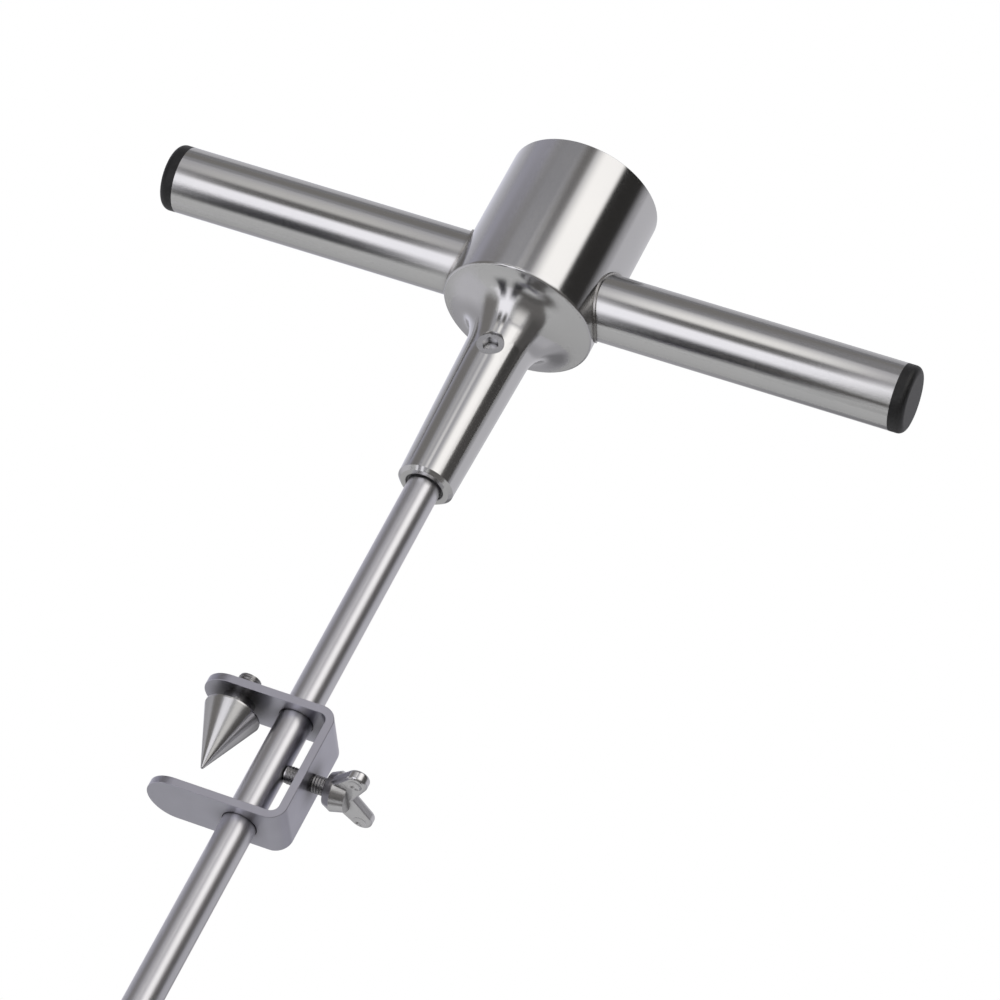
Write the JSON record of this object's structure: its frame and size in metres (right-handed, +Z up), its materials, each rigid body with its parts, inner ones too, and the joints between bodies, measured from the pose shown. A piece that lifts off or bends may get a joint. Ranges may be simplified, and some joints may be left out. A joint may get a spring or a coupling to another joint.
{
  "type": "soil compaction meter",
  "caption": "Hand-held soil penetrometer: T-handled steel hub with a recessed dial gauge, a tapered neck, a long push rod with a cone tip, and a clamped bracket that stores a spare cone.",
  "frame": {"origin": "the fitted cone's point, on the rod's axis", "axes": "+Z up the rod to the gauge, +X along the right handle, the neck's set screw faces -Y, and the dial's top faces +Y"},
  "size_m": [0.291, 0.0576, 0.914],
  "materials": {
    "hub_steel": "satin, long polish",
    "neck_steel": "fine turned",
    "handle_steel": "satin",
    "weld_steel": "weld bead",
    "rod_steel": "ground bar",
    "cone_steel": "polished",
    "strip_steel": "mill finish",
    "wing_steel": "cast, tumbled",
    "screw_steel": "machine screws",
    "cylinder_steel": "turned",
    "plug_plastic": "moulded",
    "bush_bronze": "sintered",
    "seal_rubber": "black rubber",
    "washer_copper": "soft copper",
    "gauge_brass": "machined",
    "bourdon_bronze": "spring bronze",
    "case_steel": "pressed and polished",
    "dial_enamel": "matt white",
    "pointer_enamel": "matt black",
    "window_glass": "clear"
  },
  "bodies": {
    "frame": {"hub_shell": "hub_steel", "neck_base": "neck_steel", "right_handle_tube": "handle_steel", "left_handle_tube": "handle_steel", "handle_welds": "weld_steel", "right_end_plug": "plug_plastic", "left_end_plug": "plug_plastic", "rod_retaining_screw": "screw_steel", "lower_guide_bush": "bush_bronze", "upper_guide_bush": "bush_bronze", "rod_wiper": "seal_rubber", "hydraulic_cylinder": "cylinder_steel", "cylinder_screws": "screw_steel", "piston_retaining_ring": "screw_steel", "gauge_socket": "gauge_brass", "gauge_seal_washer": "washer_copper", "gauge_case": "case_steel", "case_screws": "screw_steel", "window_gasket": "seal_rubber", "gauge_window": "window_glass", "gauge_bezel": "case_steel", "bourdon_tube": "bourdon_bronze", "movement_back_plate": "gauge_brass", "movement_front_plate": "gauge_brass", "movement_pillars": "gauge_brass", "movement_screws": "screw_steel", "hairspring": "bourdon_bronze", "dial_plate": "dial_enamel", "dial_screws": "screw_steel", "pointer_stop_pin": "screw_steel"},
    "piston": {"piston": "cylinder_steel", "piston_o_ring": "seal_rubber"},
    "rod": {"push_rod": "rod_steel"},
    "tip": {"fitted_cone": "cone_steel"},
    "bracket": {"storage_bracket": "strip_steel"},
    "clamp_screw": {"wing_screw": "wing_steel"},
    "spare_tip": {"spare_cone": "cone_steel"},
    "sector": {"sector_gear": "gauge_brass"},
    "needle": {"pinion_arbor": "gauge_brass", "pointer": "pointer_enamel"},
    "link": {"tip_link": "gauge_brass"}
  },
  "joints": [
    {"name": "rod_press", "type": "slide", "parent": "frame", "child": "piston", "axis": [0, 0, 1], "range_m": [0, 0.002], "stiffness_N_per_m": 20000},
    {"name": "rod_turn", "type": "hinge", "parent": "piston", "child": "rod", "pos_m": [0, 0, 0.8409], "axis": [0, 0, 1], "continuous": true},
    {"name": "tip_off", "type": "slide", "parent": "rod", "child": "tip", "axis": [0, 0, -1], "range_m": [0, 0.0125]},
    {"name": "bracket_slide", "type": "slide", "parent": "rod", "child": "bracket", "axis": [0, 0, 1], "range_m": [-0.58, 0.1]},
    {"name": "clamp_screw_turn", "type": "hinge", "parent": "bracket", "child": "clamp_screw", "pos_m": [0.0159, 0, 0.6436], "axis": [1, 0, 0], "range_deg": [0, 360]},
    {"name": "spare_tip_off", "type": "slide", "parent": "bracket", "child": "spare_tip", "axis": [0, 0, -1], "range_m": [0, 0.0105]},
    {"name": "sector_turn", "type": "hinge", "parent": "frame", "child": "sector", "pos_m": [0.0135, 0, 0.8973], "axis": [0, 0, 1], "range_deg": [0, 33.75]},
    {"name": "pointer_turn", "type": "hinge", "parent": "frame", "child": "needle", "pos_m": [0, 0, 0.8973], "axis": [0, 0, 1], "range_deg": [-270, 0]},
    {"name": "link_swing", "type": "hinge", "parent": "sector", "child": "link", "pos_m": [0.01656, -0.00093, 0.8973], "axis": [0, 0, 1], "range_deg": [-33.75, 0]}
  ],
  "couplings": [
    {"joint": "sector_turn", "follows": "rod_press", "rad_per_m": 294.52},
    {"joint": "pointer_turn", "follows": "rod_press", "rad_per_m": -2356.2},
    {"joint": "link_swing", "follows": "rod_press", "rad_per_m": -294.52}
  ]
}
